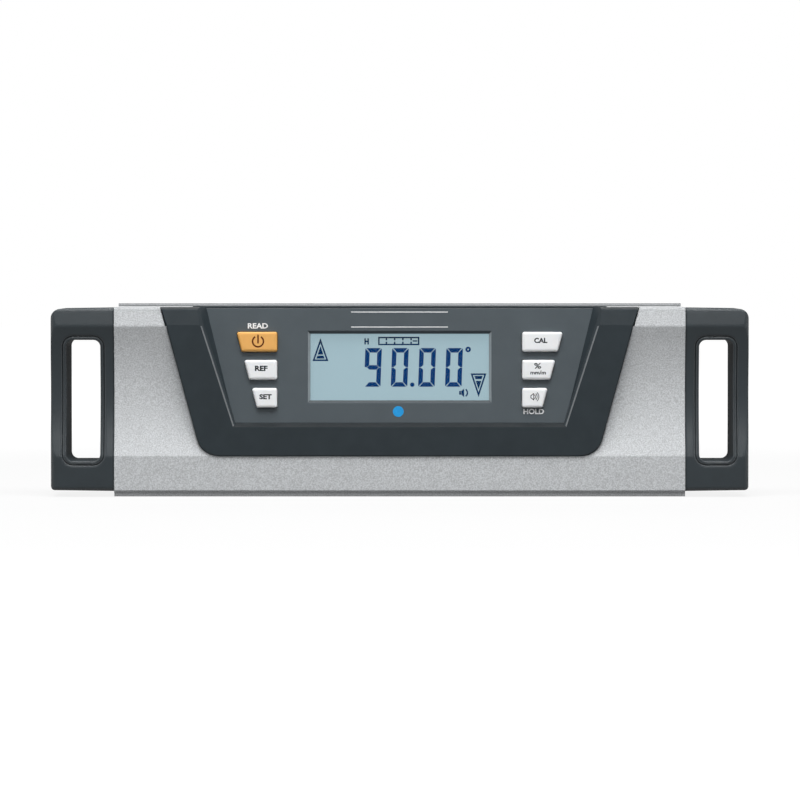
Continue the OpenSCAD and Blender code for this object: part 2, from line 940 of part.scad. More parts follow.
// Battery tray: open box let into the back of the body, with cradles for the cells
module battery_tray() {
    color("DarkSlateGray")
        difference() {
            union() {
                along_y(tray_floor - tray_wall, body_back)
                    translate([0, tray_z])
                        difference() {
                            rounded(2 * tray_half, 2 * tray_half_height, 1);
                            square([tray_length, tray_height], center = true);
                        }
                along_y(tray_floor - tray_wall, tray_floor)
                    translate([0, tray_z])
                        rounded(2 * tray_half, 2 * tray_half_height, 1);
                along_y(body_back - tray_flange, body_back)
                    translate([0, tray_z])
                        difference() {
                            tray_flange_shape(0);
                            square([tray_length, tray_height], center = true);
                        }
                for (x = [-12, 12])
                    translate([x - 0.8, tray_floor - 0.1, tray_z - tray_height / 2 - 0.1])
                        cube([1.6, 4, tray_height + 0.2]);
            }
            along_y(door_seat, body_back + 1)
                translate([0, tray_z])
                    square([tray_length + 2 * door_lap, tray_height + 2 * door_lap], center = true);
            for (z = [-1, 1])
                translate([-tray_length / 2, cell_y, tray_z + z * cell_rise])
                    rotate([0, 90, 0])
                        cylinder(r = cell_radius + fit_gap, h = tray_length);
            for (x = [-1, 1], z = [-1, 1])
                translate([x * tray_screw_x, body_back, tray_z + z * tray_screw_z])
                    rotate([90, 0, 0])
                        tray_screw_solid(bore_gap, tray_screw_length - 0.5);
        }
}

// Countersunk screw with its head's face at the origin, grown by g
module tray_screw_solid(g, length) {
    r = tray_screw_diameter / 2 + g;
    head = tray_screw_diameter + g;
    translate([0, 0, -g])
        rotate_extrude()
            polygon([[0, 0], [head, 0], [head, 0.15 + g], [r, 1 + g], [r, length], [0, length]]);
}

module tray_screws() {
    color("Gainsboro")
        for (x = [-1, 1], z = [-1, 1])
            translate([x * tray_screw_x, body_back, tray_z + z * tray_screw_z])
                rotate([90, 0, 0])
                    difference() {
                        tray_screw_solid(0, tray_screw_length);
                        translate([0, 0, 0])
                            rotate([180, 0, 0])
                                screw_cross(1.9, 0.5, 0.6, 0);
                    }
}

// Battery door: plate in the tray's mouth with a sprung thumb tongue and grip grooves
module battery_door() {
    width = tray_length + 2 * door_lap - 2 * fit_gap;
    height = tray_height + 2 * door_lap - 2 * fit_gap;
    tongue = 11;
    reach = 9;
    color("DarkSlateGray")
        difference() {
            along_y(door_seat, body_back)
                translate([0, tray_z])
                    difference() {
                        rounded(width, height, 0.6);
                        for (z = [-1, 1])
                            translate([width / 2 - reach, z * tongue / 2 - 0.35])
                                square([reach + 1, 0.7]);
                    }
            for (i = [0 : 4])
                translate([width / 2 - 2.4 - 1.5 * i, body_back - 0.45, tray_z - tongue / 2 + 1.4])
                    cube([0.7, 1, tongue - 2.8]);
        }
}

// Dry cell lying along the body, its tip towards the given side
module dry_cell(side) {
    tip = tray_length / 2 - contact_thickness - 0.1;
    translate([side * tip, cell_y, tray_z + side * cell_rise])
        rotate([0, -side * 90, 0])
            rotate_extrude()
                polygon([
                    [0, 0],
                    [1.7, 0],
                    [1.9, 0.2],
                    [1.9, 1],
                    [cell_radius - 0.8, 1],
                    [cell_radius - 0.3, 1.3],
                    [cell_radius, 1.8],
                    [cell_radius, cell_length - 0.7],
                    [cell_radius - 0.4, cell_length],
                    [0, cell_length]
                ]);
}

module upper_cell() {
    color("SteelBlue")
        dry_cell(1);
}

module lower_cell() {
    color("SteelBlue")
        dry_cell(-1);
}

// Conical contact spring at the blunt end of a cell
module contact_spring(side) {
    wire = 0.6;
    turns = 3;
    steps = 36;
    sides = 8;
    height = spring_length - wire - 0.1;
    points = [for (i = [0 : steps], j = [0 : sides - 1])
        let (
            a = 360 * turns * i / steps,
            b = 360 * j / sides,
            r = 3.6 - 1.4 * i / steps + wire / 2 * cos(b)
        )
        [r * cos(a), r * sin(a), wire / 2 + height * i / steps + wire / 2 * sin(b)]];
    walls = [for (i = [0 : steps - 1], j = [0 : sides - 1])
        let (k = (j + 1) % sides)
        [i * sides + j, i * sides + k, (i + 1) * sides + k, (i + 1) * sides + j]];
    ends = [[for (j = [sides - 1 : -1 : 0]) j], [for (j = [0 : sides - 1]) steps * sides + j]];
    x = tray_length / 2 - contact_thickness - 0.05;
    translate([-side * x, cell_y, tray_z + side * cell_rise])
        rotate([0, side * 90, 0])
            polyhedron(points, concat(walls, ends));
}

module upper_spring() {
    color("Gainsboro")
        contact_spring(1);
}

module lower_spring() {
    color("Gainsboro")
        contact_spring(-1);
}

// Contact plate against an end wall of the tray, from one height to another
module contact_plate(side, low, high) {
    x = side * (tray_length / 2 - contact_thickness / 2);
    translate([x, cell_y, tray_z + (low + high) / 2])
        cube([contact_thickness, contact_width, high - low], center = true);
}

module negative_contact() {
    color("Gainsboro")
        contact_plate(-1, cell_rise - contact_half, cell_rise + contact_half);
}

module positive_contact() {
    color("Gainsboro")
        contact_plate(-1, -cell_rise - contact_half, contact_half - cell_rise);
}

module series_contact() {
    color("Gainsboro")
        contact_plate(1, -cell_rise - contact_half, cell_rise + contact_half);
}

body_extrusion();
left_end_cap();
right_end_cap();
cap_screws();
front_bezel();
control_panel();
display_window();
display_gasket();
lcd_cell();
light_guide();
contact_strip(1);  // upper_contact_strip
contact_strip(-1);  // lower_contact_strip
display_holder();
circuit_board();
board_screws();
processor();
tilt_sensor();
radio_module();
buzzer();
battery_tray();
tray_screws();
battery_door();
upper_cell();
lower_cell();
upper_spring();
lower_spring();
negative_contact();
positive_contact();
series_contact();
for (i = [0 : 3]) sole_magnet(i);
for (i = [0 : 5]) color(key_colour(i)) keycap(i);
for (i = [0 : 5]) switch_plunger(i);
for (i = [0 : 5]) key_switch(i);

function key_colour(i) = i == 0 ? "SandyBrown" : "White";
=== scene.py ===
import math
import bmesh
import bpy
from mathutils import Matrix, Vector


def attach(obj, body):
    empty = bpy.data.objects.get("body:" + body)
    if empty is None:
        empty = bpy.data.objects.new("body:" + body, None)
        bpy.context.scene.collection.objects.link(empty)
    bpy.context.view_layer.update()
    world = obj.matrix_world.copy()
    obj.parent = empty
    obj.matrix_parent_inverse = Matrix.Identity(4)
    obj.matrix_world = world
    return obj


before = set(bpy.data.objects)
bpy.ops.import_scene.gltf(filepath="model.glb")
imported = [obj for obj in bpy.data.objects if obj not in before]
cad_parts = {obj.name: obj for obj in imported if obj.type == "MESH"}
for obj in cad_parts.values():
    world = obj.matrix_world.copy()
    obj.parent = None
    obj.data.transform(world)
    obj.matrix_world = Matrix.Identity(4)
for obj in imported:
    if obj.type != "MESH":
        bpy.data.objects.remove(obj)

for start_up in ("Cube", "Light", "Camera"):
    if start_up in bpy.data.objects:
        bpy.data.objects.remove(bpy.data.objects[start_up])
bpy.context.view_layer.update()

scene = bpy.context.scene
scene.view_settings.view_transform = "Standard"
MM = 0.001

# Sizes shared with the solids, in millimetres. The front faces -Y and the sole rests on Z = 0.
BEZEL_FRONT = -14.0
PANEL_LIP = 1.4
PANEL_HEIGHT = 36.4
PANEL_TOP = 60.5
PANEL_TILT = math.radians(4.5)
PANEL_Y = BEZEL_FRONT + PANEL_LIP + PANEL_HEIGHT * math.sin(PANEL_TILT)
LCD_FACE = -2.2
KEY_FACE = 1.3
PRINT = 0.02
PRINT_GAP = 0.004

# Places on the panel: u to the right from the middle, v up from the panel's top edge, w out of it.
PANEL = Matrix(((1, 0, 0, 0),
                (0, math.sin(PANEL_TILT), -math.cos(PANEL_TILT), PANEL_Y),
                (0, math.cos(PANEL_TILT), math.sin(PANEL_TILT), PANEL_TOP),
                (0, 0, 0, 1)))


def linear(hex_colour):
    """The linear colour of a sRGB hex colour."""
    out = []
    for i in (0, 2, 4):
        c = int(hex_colour[i:i + 2], 16) / 255
        out.append(c / 12.92 if c <= 0.04045 else ((c + 0.055) / 1.055) ** 2.4)
    return (*out, 1.0)


# Materials

class Surface:
    """A principled material with helpers for procedural detail in object space, some of which paint
    shade and highlights into the base colour.
    """

    def __init__(self, name, colour, roughness, metallic=0.0, specular=0.5):
        self.mat = bpy.data.materials.new(name)
        self.mat.use_nodes = True
        self.tree = self.mat.node_tree
        self.bsdf = self.tree.nodes["Principled BSDF"]
        self.bsdf.inputs["Base Color"].default_value = colour
        self.bsdf.inputs["Roughness"].default_value = roughness
        self.bsdf.inputs["Metallic"].default_value = metallic
        self.bsdf.inputs["Specular IOR Level"].default_value = specular
        self.colour = colour
        self.coord = self.node("ShaderNodeTexCoord").outputs["Object"]
        self.normal = None

    def node(self, kind, **settings):
        made = self.tree.nodes.new(kind)
        for key, value in settings.items():
            setattr(made, key, value)
        return made

    def link(self, a, b):
        self.tree.links.new(a, b)

    def noise(self, size_mm, detail=2.0):
        """A noise whose grains are about size_mm across."""
        made = self.node("ShaderNodeTexNoise")
        made.inputs["Scale"].default_value = 1 / (size_mm * MM)
        made.inputs["Detail"].default_value = detail
        self.link(self.coord, made.inputs["Vector"])
        return made.outputs["Fac"]

    def span(self, value, low, high, frm=(0.3, 0.7)):
        """A value taken from the range frm to the range from low to high."""
        made = self.node("ShaderNodeMapRange")
        made.inputs["From Min"].default_value = frm[0]
        made.inputs["From Max"].default_value = frm[1]
        made.inputs["To Min"].default_value = low
        made.inputs["To Max"].default_value = high
        self.link(value, made.inputs["Value"])
        return made.outputs["Result"]

    def up(self, vector):
        """The vertical part of a place or a direction."""
        parts = self.node("ShaderNodeSeparateXYZ")
        self.link(vector, parts.inputs["Vector"])
        return parts.outputs["Z"]

    def near(self, size_mm, **settings):
        """How open the surroundings are within size_mm."""
        made = self.node("ShaderNodeAmbientOcclusion", samples=6, **settings)
        made.inputs["Distance"].default_value = size_mm * MM
        return made.outputs["AO"]

    def scaled(self, factor):
        """The base colour times a factor."""
        return (*[min(c * factor, 1) for c in self.colour[:3]], 1)

    def blend(self, factor, a, b, how="MIX"):
        """Mix the base colour from a and b, each a colour or a socket."""
        mix = self.node("ShaderNodeMix", data_type="RGBA", blend_type=how)
        for socket, value in (("Factor", factor), ("A", a), ("B", b)):
            if isinstance(value, (tuple, int)):
                mix.inputs[socket].default_value = value
            else:
                self.link(value, mix.inputs[socket])
        self.base = mix.outputs["Result"]
        self.link(self.base, self.bsdf.inputs["Base Color"])

    def shade(self, value, low, high, frm=(0.3, 0.7)):
        """Vary the base colour between low and high times itself."""
        self.blend(self.span(value, 0, 1, frm), self.scaled(low), self.scaled(high))

    def paint_highlight_on_edges(self, size_mm, colour):
        """Paint a highlight into the base colour along the outer edges."""
        inside = self.near(size_mm, inside=True, only_local=True)
        self.blend(self.span(inside, 1, 0, (0.72, 0.98)), self.base, colour)

    def paint_shade_in_corners(self, size_mm, low):
        """Paint shade into the base colour in inner corners and along seams."""
        self.blend(self.span(self.near(size_mm), 0, 1, (0.45, 0.92)), self.scaled(low), self.base)

    def paint_shade_on_ledges(self, low):
        """Darken the base colour on faces that look up, as painted shade."""
        slope = self.up(self.node("ShaderNodeNewGeometry").outputs["True Normal"])
        self.blend(self.span(slope, 0, 1, (0.3, 0.8)), self.base, self.scaled(low))

    def paint_shade_by_height(self, stops):
        """Scale the base colour by height, with rising stops of (height in mm, scale), to paint shade.
        """
        low_mm, high_mm = stops[0][0], stops[-1][0]
        ramp = self.node("ShaderNodeValToRGB")
        height = self.span(self.up(self.coord), 0, 1, (low_mm * MM, high_mm * MM))
        self.link(height, ramp.inputs["Fac"])
        elements = ramp.color_ramp.elements
        elements.remove(elements[1])
        for index, (at_mm, scale) in enumerate(stops):
            place = (at_mm - low_mm) / (high_mm - low_mm)
            stop = elements[0] if index == 0 else elements.new(place)
            stop.position = place
            stop.color = (scale, scale, scale, 1)
        self.blend(1, self.base, ramp.outputs["Color"], "MULTIPLY")

    def dull_at_grazing(self, facing, grazing):
        """Let the gloss fall off towards grazing angles, as on a fine grained moulding."""
        weight = self.node("ShaderNodeLayerWeight")
        level = self.span(weight.outputs["Facing"], facing, grazing, (0.55, 0.9))
        self.link(level, self.bsdf.inputs["Specular IOR Level"])

    def gloss(self, value, low, high, frm=(0.3, 0.7)):
        """Vary the roughness between low and high."""
        self.link(self.span(value, low, high, frm), self.bsdf.inputs["Roughness"])

    def soft_edges(self, radius_mm, top_mm=None, above_mm=0.0):
        """Round the look of the edges, with another radius above a height where one is given."""
        made = self.node("ShaderNodeBevel", samples=6)
        made.inputs["Radius"].default_value = radius_mm * MM
        if top_mm is not None:
            step = ((above_mm - RADIUS_STEP) * MM, above_mm * MM)
            radius = self.span(self.up(self.coord), radius_mm * MM, top_mm * MM, step)
            self.link(radius, made.inputs["Radius"])
        self.normal = made.outputs["Normal"]
        self.link(self.normal, self.bsdf.inputs["Normal"])

    def bump(self, value, depth_mm, strength):
        """Roughen the look of the face by a height of about depth_mm."""
        made = self.node("ShaderNodeBump")
        made.inputs["Strength"].default_value = strength
        made.inputs["Distance"].default_value = depth_mm * MM
        self.link(value, made.inputs["Height"])
        if self.normal is not None:
            self.link(self.normal, made.inputs["Normal"])
        self.normal = made.outputs["Normal"]
        self.link(self.normal, self.bsdf.inputs["Normal"])


# Heights in millimetres on the body: the crown of the shoulder, then painted shade by height over the
# crown and the rail, whose two dark lines are painted shadow
RADIUS_STEP = 0.4
CROWN = 60.4
RAIL_PAINTED_SHADE = [
    (59.0, 1.0), (59.7, 0.97), (60.3, 0.7), (60.95, 0.66), (61.05, 0.42),
    (61.3, 0.42), (61.42, 0.8), (61.68, 0.8), (61.78, 0.5), (62.5, 0.5)]


def aluminium():
    s = Surface("satin_aluminium_finish", (0.572, 0.589, 0.603, 1), 0.5, 0.1, 0.1)
    s.soft_edges(0.5, 0.1, CROWN)
    s.shade(s.noise(0.36, detail=1.5), 0.82, 1.2, (0.34, 0.66))
    # Painted shade: the crown darker, and two painted shadow lines along the rail
    s.paint_shade_by_height(RAIL_PAINTED_SHADE)
    # Painted shade: darker base colour in inner corners, along seams and at the rail's foot
    s.paint_shade_in_corners(0.8, 0.4)
    s.gloss(s.noise(0.7, detail=1), 0.44, 0.56)
    s.bump(s.noise(0.3, detail=1), 0.02, 0.3)
    return s.mat


def charcoal():
    s = Surface("charcoal_plastic_finish", (0.024, 0.033, 0.039, 1), 0.32)
    s.soft_edges(0.12)
    s.shade(s.noise(6, detail=3), 0.92, 1.08)
    # Painted shade: upward faces of the charcoal parts are darker than those facing the front
    s.paint_shade_on_ledges(0.35)
    s.dull_at_grazing(0.18, 0.0)
    s.gloss(s.noise(0.5, detail=1), 0.3, 0.38)
    s.bump(s.noise(0.22, detail=1), 0.008, 0.3)
    return s.mat


def cap_plastic():
    s = Surface("cap_plastic_finish", (0.018, 0.0265, 0.032, 1), 0.32)
    s.soft_edges(1.3)
    s.shade(s.noise(6, detail=3), 0.92, 1.08)
    # Painted highlight: a lighter colour along the caps' outer edges
    s.paint_highlight_on_edges(0.3, (0.07, 0.079, 0.086, 1))
    s.dull_at_grazing(0.34, 0.00015)
    s.gloss(s.noise(0.5, detail=1), 0.28, 0.34)
    s.bump(s.noise(0.22, detail=1), 0.006, 0.3)
    return s.mat


def panel_grey():
    s = Surface("grey_panel_finish", linear("4c5459"), 0.5, specular=0.25)
    s.soft_edges(0.15)
    s.shade(s.noise(8, detail=3), 0.95, 1.05)
    s.gloss(s.noise(0.4, detail=1), 0.46, 0.56)
    s.bump(s.noise(0.16, detail=1), 0.008, 0.3)
    return s.mat


def key_plastic(name, colour):
    s = Surface(name, colour, 0.42, specular=0.45)
    s.bsdf.inputs["Subsurface Weight"].default_value = 0.08
    s.bsdf.inputs["Subsurface Radius"].default_value = (0.0006, 0.0005, 0.0004)
    s.soft_edges(0.28)
    s.shade(s.noise(3, detail=3), 0.97, 1.03)
    s.gloss(s.noise(0.4, detail=1), 0.38, 0.48)
    s.bump(s.noise(0.2, detail=1), 0.006, 0.25)
    return s.mat


def clear_window():
    mat = bpy.data.materials.new("clear_window_finish")
    mat.use_nodes = True
    tree = mat.node_tree
    tree.nodes.remove(tree.nodes["Principled BSDF"])
    out = tree.nodes["Material Output"]
    through = tree.nodes.new("ShaderNodeBsdfTransparent")
    through.inputs["Color"].default_value = (0.985, 0.99, 0.99, 1)
    gloss = tree.nodes.new("ShaderNodeBsdfGlossy")
    gloss.inputs["Roughness"].default_value = 0.06
    mix = tree.nodes.new("ShaderNodeMixShader")
    mix.inputs["Fac"].default_value = 0.006
    tree.links.new(through.outputs[0], mix.inputs[1])
    tree.links.new(gloss.outputs[0], mix.inputs[2])
    tree.links.new(mix.outputs[0], out.inputs["Surface"])
    return mat


def plain(name, colour, roughness, metallic=0.0, size_mm=2.0, vary=0.08, depth_mm=0.01,
          edge_mm=0.15):
    """A plain material with faint grain."""
    s = Surface(name, colour, roughness, metallic)
    if edge_mm:
        s.soft_edges(edge_mm)
    s.shade(s.noise(size_mm, detail=3), 1 - vary, 1 + vary)
    s.gloss(s.noise(size_mm / 3, detail=1), max(roughness - 0.06, 0.05), roughness + 0.06)
    s.bump(s.noise(size_mm / 6, detail=1), depth_mm, 0.3)
    return s.mat


def lcd_face():
    s = Surface("display_glass_finish", linear("4e5a5f"), 0.35, specular=0.3)
    s.shade(s.noise(14, detail=2), 0.985, 1.015)
    s.gloss(s.noise(0.5, detail=1), 0.3, 0.4)
    # The display glows with its backlight, turned up so that it also lightens the shade under the
    # window's top edge: partly painted light
    s.bsdf.inputs["Emission Color"].default_value = linear("a0bcc6")
    s.bsdf.inputs["Emission Strength"].default_value = 0.75
    return s.mat


def ink(name, colour, roughness=0.5, specular=0.15):
    s = Surface(name, colour, roughness, specular=specular)
    s.shade(s.noise(0.6, detail=2), 0.94, 1.06)
    s.gloss(s.noise(0.3, detail=1), roughness - 0.05, roughness + 0.05)
    return s.mat


finishes = {
    "satin_aluminium": aluminium(),
    "charcoal_plastic": charcoal(),
    "grey_plastic": panel_grey(),
    "clear_window": clear_window(),
    "foam": plain("foam_finish", (0.02, 0.02, 0.022, 1), 0.9, 0.0, 0.6, 0.3, 0.05),
    "display_glass": lcd_face(),
    "light_guide": plain("light_guide_finish", (0.82, 0.85, 0.86, 1), 0.3),
    "contact_rubber": plain("contact_rubber_finish", (0.45, 0.28, 0.27, 1), 0.7),
    "white_plastic": key_plastic("white_plastic_finish", (0.87, 0.885, 0.90, 1)),
    "orange_plastic": key_plastic("orange_plastic_finish", (0.815, 0.42, 0.106, 1)),
    "board": plain("board_finish", (0.012, 0.11, 0.045, 1), 0.4),
    "steel": plain("steel_finish", (0.55, 0.55, 0.54, 1), 0.3, 1.0, 1.0, 0.1),
    "chip": plain("chip_finish", (0.015, 0.015, 0.016, 1), 0.5),
    "shield": plain("shield_finish", (0.62, 0.62, 0.6, 1), 0.35, metallic=1.0),
    "cell_can": plain("cell_can_finish", (0.10, 0.11, 0.12, 1), 0.35, metallic=0.3),
    "magnet": plain("magnet_finish", (0.45, 0.45, 0.46, 1), 0.28, metallic=1.0, size_mm=1.5),
    "switch_plastic": plain("switch_plastic_finish", (0.02, 0.02, 0.022, 1), 0.5),
}
cap_finish = cap_plastic()
white_ink = ink("white_ink_finish", (0.92, 0.93, 0.94, 1))
grey_ink = ink("grey_ink_finish", linear("2a2f33"))
brown_ink = ink("brown_ink_finish", linear("5c2608"))
segment_ink = ink("segment_ink_finish", linear("0a3a74"), 0.5, 0.0)
icon_ink = ink("icon_ink_finish", linear("0a335f"), 0.5, 0.0)
blue_ink = ink("blue_ink_finish", linear("2a9de2"))
# Colour of the painted highlight along the recess edges
painted_edge_highlight = plain("edge_sheen_finish", (0.125, 0.137, 0.147, 1), 0.4, size_mm=3, edge_mm=0)
# Colour of the painted highlight on the window's side bevels
painted_bevel_highlight = plain("bevel_sheen_finish", (0.24, 0.275, 0.295, 1), 0.4, size_mm=3, edge_mm=0)
# Colour of the painted shade on the window's foot bevel
painted_bevel_shade = plain("bevel_shade_finish", (0.03, 0.038, 0.044, 1), 0.6, size_mm=3, edge_mm=0)

for name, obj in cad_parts.items():
    for place in obj.material_slots:
        slot = place.material.name.split(".")[0]
        place.material = cap_finish if name.endswith("end_cap") else finishes[slot]


# Flat print: polygons in millimetres on the panel

def add_piece(name, mesh, material, body):
    mesh.materials.clear()
    mesh.materials.append(material)
    obj = bpy.data.objects.new(name, mesh)
    scene.collection.objects.link(obj)
    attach(obj, body)


def add_plates(name, plates, material, body):
    """One piece of thin plates, each a ring of points below and one above, in millimetres."""
    bm = bmesh.new()
    for below, above in plates:
        low = [bm.verts.new(point * MM) for point in below]
        high = [bm.verts.new(point * MM) for point in above]
        bm.faces.new(high)
        bm.faces.new(low[::-1])
        for i in range(len(low)):
            bm.faces.new((low[i - 1], low[i], high[i], high[i - 1]))
    mesh = bpy.data.meshes.new(name)
    bm.to_mesh(mesh)
    bm.free()
    add_piece(name, mesh, material, body)


def twice_area(points):
    """Twice the area of an outline, positive where it runs anticlockwise."""
    return sum(p[0] * q[1] - q[0] * p[1] for p, q in zip(points, points[1:] + points[:1]))


def bar(x0, y0, x1, y1):
    return [(x0, y0), (x1, y0), (x1, y1), (x0, y1)]


def around(cx, cy, r, degrees):
    turn = math.radians(degrees)
    return (cx + r * math.cos(turn), cy + r * math.sin(turn))


def disc(cx, cy, r, n=32):
    return [around(cx, cy, r, 360 * i / n) for i in range(n)]


def arc(cx, cy, r, width, start, end, n=24):
    """A stroke along an arc, from start to end in degrees, as short pieces."""
    inner, outer = r - width / 2, r + width / 2
    out = []
    for i in range(n):
        a = start + (end - start) * i / n
        b = start + (end - start) * (i + 1) / n
        out.append([around(cx, cy, inner, a), around(cx, cy, outer, a),
                    around(cx, cy, outer, b), around(cx, cy, inner, b)])
    return out


def inset(points, width):
    """A convex outline moved inwards by width."""
    n = len(points)
    side = 1 if twice_area(points) > 0 else -1
    out = []
    for i in range(n):
        p, q, r = Vector(points[i - 1]), Vector(points[i]), Vector(points[(i + 1) % n])
        a, b = (q - p).normalized(), (r - q).normalized()
        na, nb = Vector((-a.y, a.x)) * side, Vector((-b.y, b.x)) * side
        m = (na + nb) / (1 + na.dot(nb))
        out.append(tuple(q + m * width))
    return out


def frame_of(points, width):
    """The border of a convex outline, as one piece for each side."""
    inner = inset(points, width)
    n = len(points)
    return [[points[i], points[(i + 1) % n], inner[(i + 1) % n], inner[i]] for i in range(n)]


def on_panel(points, w):
    return [PANEL @ Vector((x, y, w)) for x, y in points]


def print_piece(name, polygons, w, material, body="gauge_body"):
    """Thin printed shapes lying on the panel plane at height w."""
    rings = [points if twice_area(points) > 0 else points[::-1] for points in polygons]
    plates = [(on_panel(ring, w + PRINT_GAP), on_panel(ring, w + PRINT)) for ring in rings]
    add_plates(name, plates, material, body)


def legend(name, words, middle, height, width, bold, w, material, slot, body="gauge_body"):
    """A word in the built-in face, fitted to a height and a width in millimetres."""
    curve = bpy.data.curves.new(name + "_curve", "FONT")
    curve.body = words
    curve.offset = bold
    curve.resolution_u = 3
    curve.extrude = 0.01
    helper = bpy.data.objects.new(name + "_curve", curve)
    scene.collection.objects.link(helper)
    bpy.context.view_layer.update()
    depsgraph = bpy.context.evaluated_depsgraph_get()
    mesh = bpy.data.meshes.new_from_object(helper.evaluated_get(depsgraph))
    bpy.data.objects.remove(helper)
    bpy.data.curves.remove(curve)
    xs = [v.co.x for v in mesh.vertices]
    ys = [v.co.y for v in mesh.vertices]
    sx, sy = width / (max(xs) - min(xs)), height / (max(ys) - min(ys))
    mx, my = (max(xs) + min(xs)) / 2, (max(ys) + min(ys)) / 2
    for v in mesh.vertices:
        x = (v.co.x - mx) * sx + middle[0]
        y = (v.co.y - my) * sy + middle[1]
        v.co = PANEL @ Vector((x, y, w + (PRINT if v.co.z > 0 else PRINT_GAP))) * MM
    add_piece(name, mesh, material, body)


# The display's read-out

DIGIT_FOOT = -25.15
DIGIT_HEIGHT = 12.5
DIGIT_WIDTH = 5.35
SEGMENT = 1.45
SEGMENT_GAP = 0.12
SLANT = 0.037
SEGMENTS_OF = {"0": "abcdef", "9": "abcdfg"}
DIGITS = (("9", -11.55), ("0", -2.89), ("0", 5.93), ("0", 14.62))
CORNER = 0.25


def digit(character, left):
    """A slanted seven-segment digit."""
    wd, h, t, g = DIGIT_WIDTH, DIGIT_HEIGHT, SEGMENT, SEGMENT_GAP
    mid = h / 2
    upper = {
        "a": [(CORNER + g, h), (wd - CORNER - g, h), (wd - t - g, h - t), (t + g, h - t)],
        "f": [(0, h - CORNER - g / 2), (0.12, h - 0.12 - g / 2), (t, h - t - g),
              (t, mid + t * 0.45 + g), (t * 0.45, mid + g * 0.7), (0, mid + g * 0.7)],
    }
    upper["b"] = [(wd - x, y) for x, y in upper["f"]]
    shapes = dict(upper)
    shapes["d"] = [(x, h - y) for x, y in upper["a"]]
    shapes["e"] = [(x, h - y) for x, y in upper["f"]]
    shapes["c"] = [(x, h - y) for x, y in upper["b"]]
    shapes["g"] = [(0.6 + g, mid), (t + g, mid + t / 2), (wd - t - g, mid + t / 2), (wd - 0.6 - g, mid),
                   (wd - t - g, mid - t / 2), (t + g, mid - t / 2)]
    return [[(left + x + SLANT * y, DIGIT_FOOT + y) for x, y in shapes[segment]]
            for segment in SEGMENTS_OF[character]]


read_out = []
for character, left in DIGITS:
    read_out += digit(character, left)
read_out.append(disc(4.06, -24.5, 0.72))
read_out += arc(22.1, -13.1, 0.58, 0.62, 0, 360, 28)
print_piece("lcd_digits", read_out, LCD_FACE, segment_ink)

SIGN_STROKE = 0.46
ARROW_STROKE = 0.52
METER_LEFT, METER_RIGHT, METER_CELLS = -6.95, 6.35, 5


def arrow_up():
    outline = [(-25.6, -9.45), (-28.15, -16.85), (-23.02, -16.85)]
    head = [(-25.57, -12.0), (-26.5, -14.75), (-24.65, -14.75)]
    foot = [(-26.95, -16.05), (-24.23, -16.05), (-24.6, -15.1), (-26.58, -15.1)]
    return frame_of(outline, ARROW_STROKE) + [head, foot]


def arrow_down():
    outline = [(25.45, -28.55), (28.0, -20.85), (22.9, -20.85)]
    foot = [(24.1, -21.65), (26.8, -21.65), (26.42, -22.7), (24.48, -22.7)]
    head = [(24.55, -23.25), (26.35, -23.25), (25.45, -26.0)]
    return frame_of(outline, ARROW_STROKE) + [foot, head]


def hold_sign():
    posts = [bar(x, -11.5, x + SIGN_STROKE, -9.5) for x in (-11.4, -10.42)]
    return posts + [bar(-11.0, -10.72, -10.3, -10.25)]


def battery_meter():
    out = frame_of(bar(METER_LEFT, -11.72, METER_RIGHT, -9.02), SIGN_STROKE)
    for i in range(1, METER_CELLS):
        x = METER_LEFT + (METER_RIGHT - METER_LEFT) * i / METER_CELLS
        out.append(bar(x - 0.24, -11.3, x + 0.24, -10.6))
        out.append(bar(x - 0.24, -10.14, x + 0.24, -9.45))
    return out + [bar(4.2, -10.55, 5.7, -10.15)]


def sound_sign():
    magnet = bar(19.2, -27.72, 19.8, -26.52)
    cone = [(19.9, -27.72), (20.8, -28.5), (20.8, -25.74), (19.9, -26.52)]
    return [magnet, cone] + arc(20.45, -27.12, 1.4, SIGN_STROKE, -52, 52, 10)


signs = arrow_up() + arrow_down() + hold_sign() + battery_meter() + sound_sign()
print_piece("lcd_icons", signs, LCD_FACE, icon_ink)

# Print on the panel
LINE_LEFT, LINE_RIGHT, LINE_WIDTH = -15.7, 15.55, 0.28
lines = [bar(LINE_LEFT, foot, LINE_RIGHT, foot + LINE_WIDTH) for foot in (-1.27, -6.12)]
print_piece("panel_lines", lines, 0.0, white_ink)

# Each word: piece, letters, middle, height, width, boldness
PANEL_WORDS = (
    ("legend_read", "READ", (-45.75, -5.6), 1.75, 6.5, 0.03),
    ("legend_hold", "HOLD", (43.2, -33.25), 1.75, 6.65, 0.035),
)
for word in PANEL_WORDS:
    legend(*word, 0.0, white_ink, "white_plastic")
print_piece("panel_dot", [disc(-0.45, -33.25, 1.75, 48)], 0.0, blue_ink)

# Thin pieces of painted light: painted highlights along the sides of the recess and the window, painted
# shade along the window's foot
RECESS_HALF = 64.305
RECESS_HEAD = 55.195
RECESS_FOOT = 22.4
RECESS_LEAN = math.tan(math.radians(17.8))
RECESS_SLOPE = 0.7 / 1.2


def facet(name, quads, material):
    """Thin flat pieces over four corners each, in millimetres, facing the front."""
    plates = []
    for quad in quads:
        corners = [Vector(c) for c in quad]
        out = (corners[1] - corners[0]).cross(corners[3] - corners[0]).normalized()
        if out.y > 0:
            corners.reverse()
            out.negate()
        plates.append(([c + out * PRINT_GAP for c in corners], [c + out * PRINT for c in corners]))
    add_plates(name, plates, material, "gauge_body")


def recess_point(side, inwards, z):
    """A point on the bevel of the recess, some way in from its edge."""
    half = RECESS_HALF - (RECESS_HEAD - z) * RECESS_LEAN - inwards
    return (side * half, BEZEL_FRONT + inwards * RECESS_SLOPE, z)


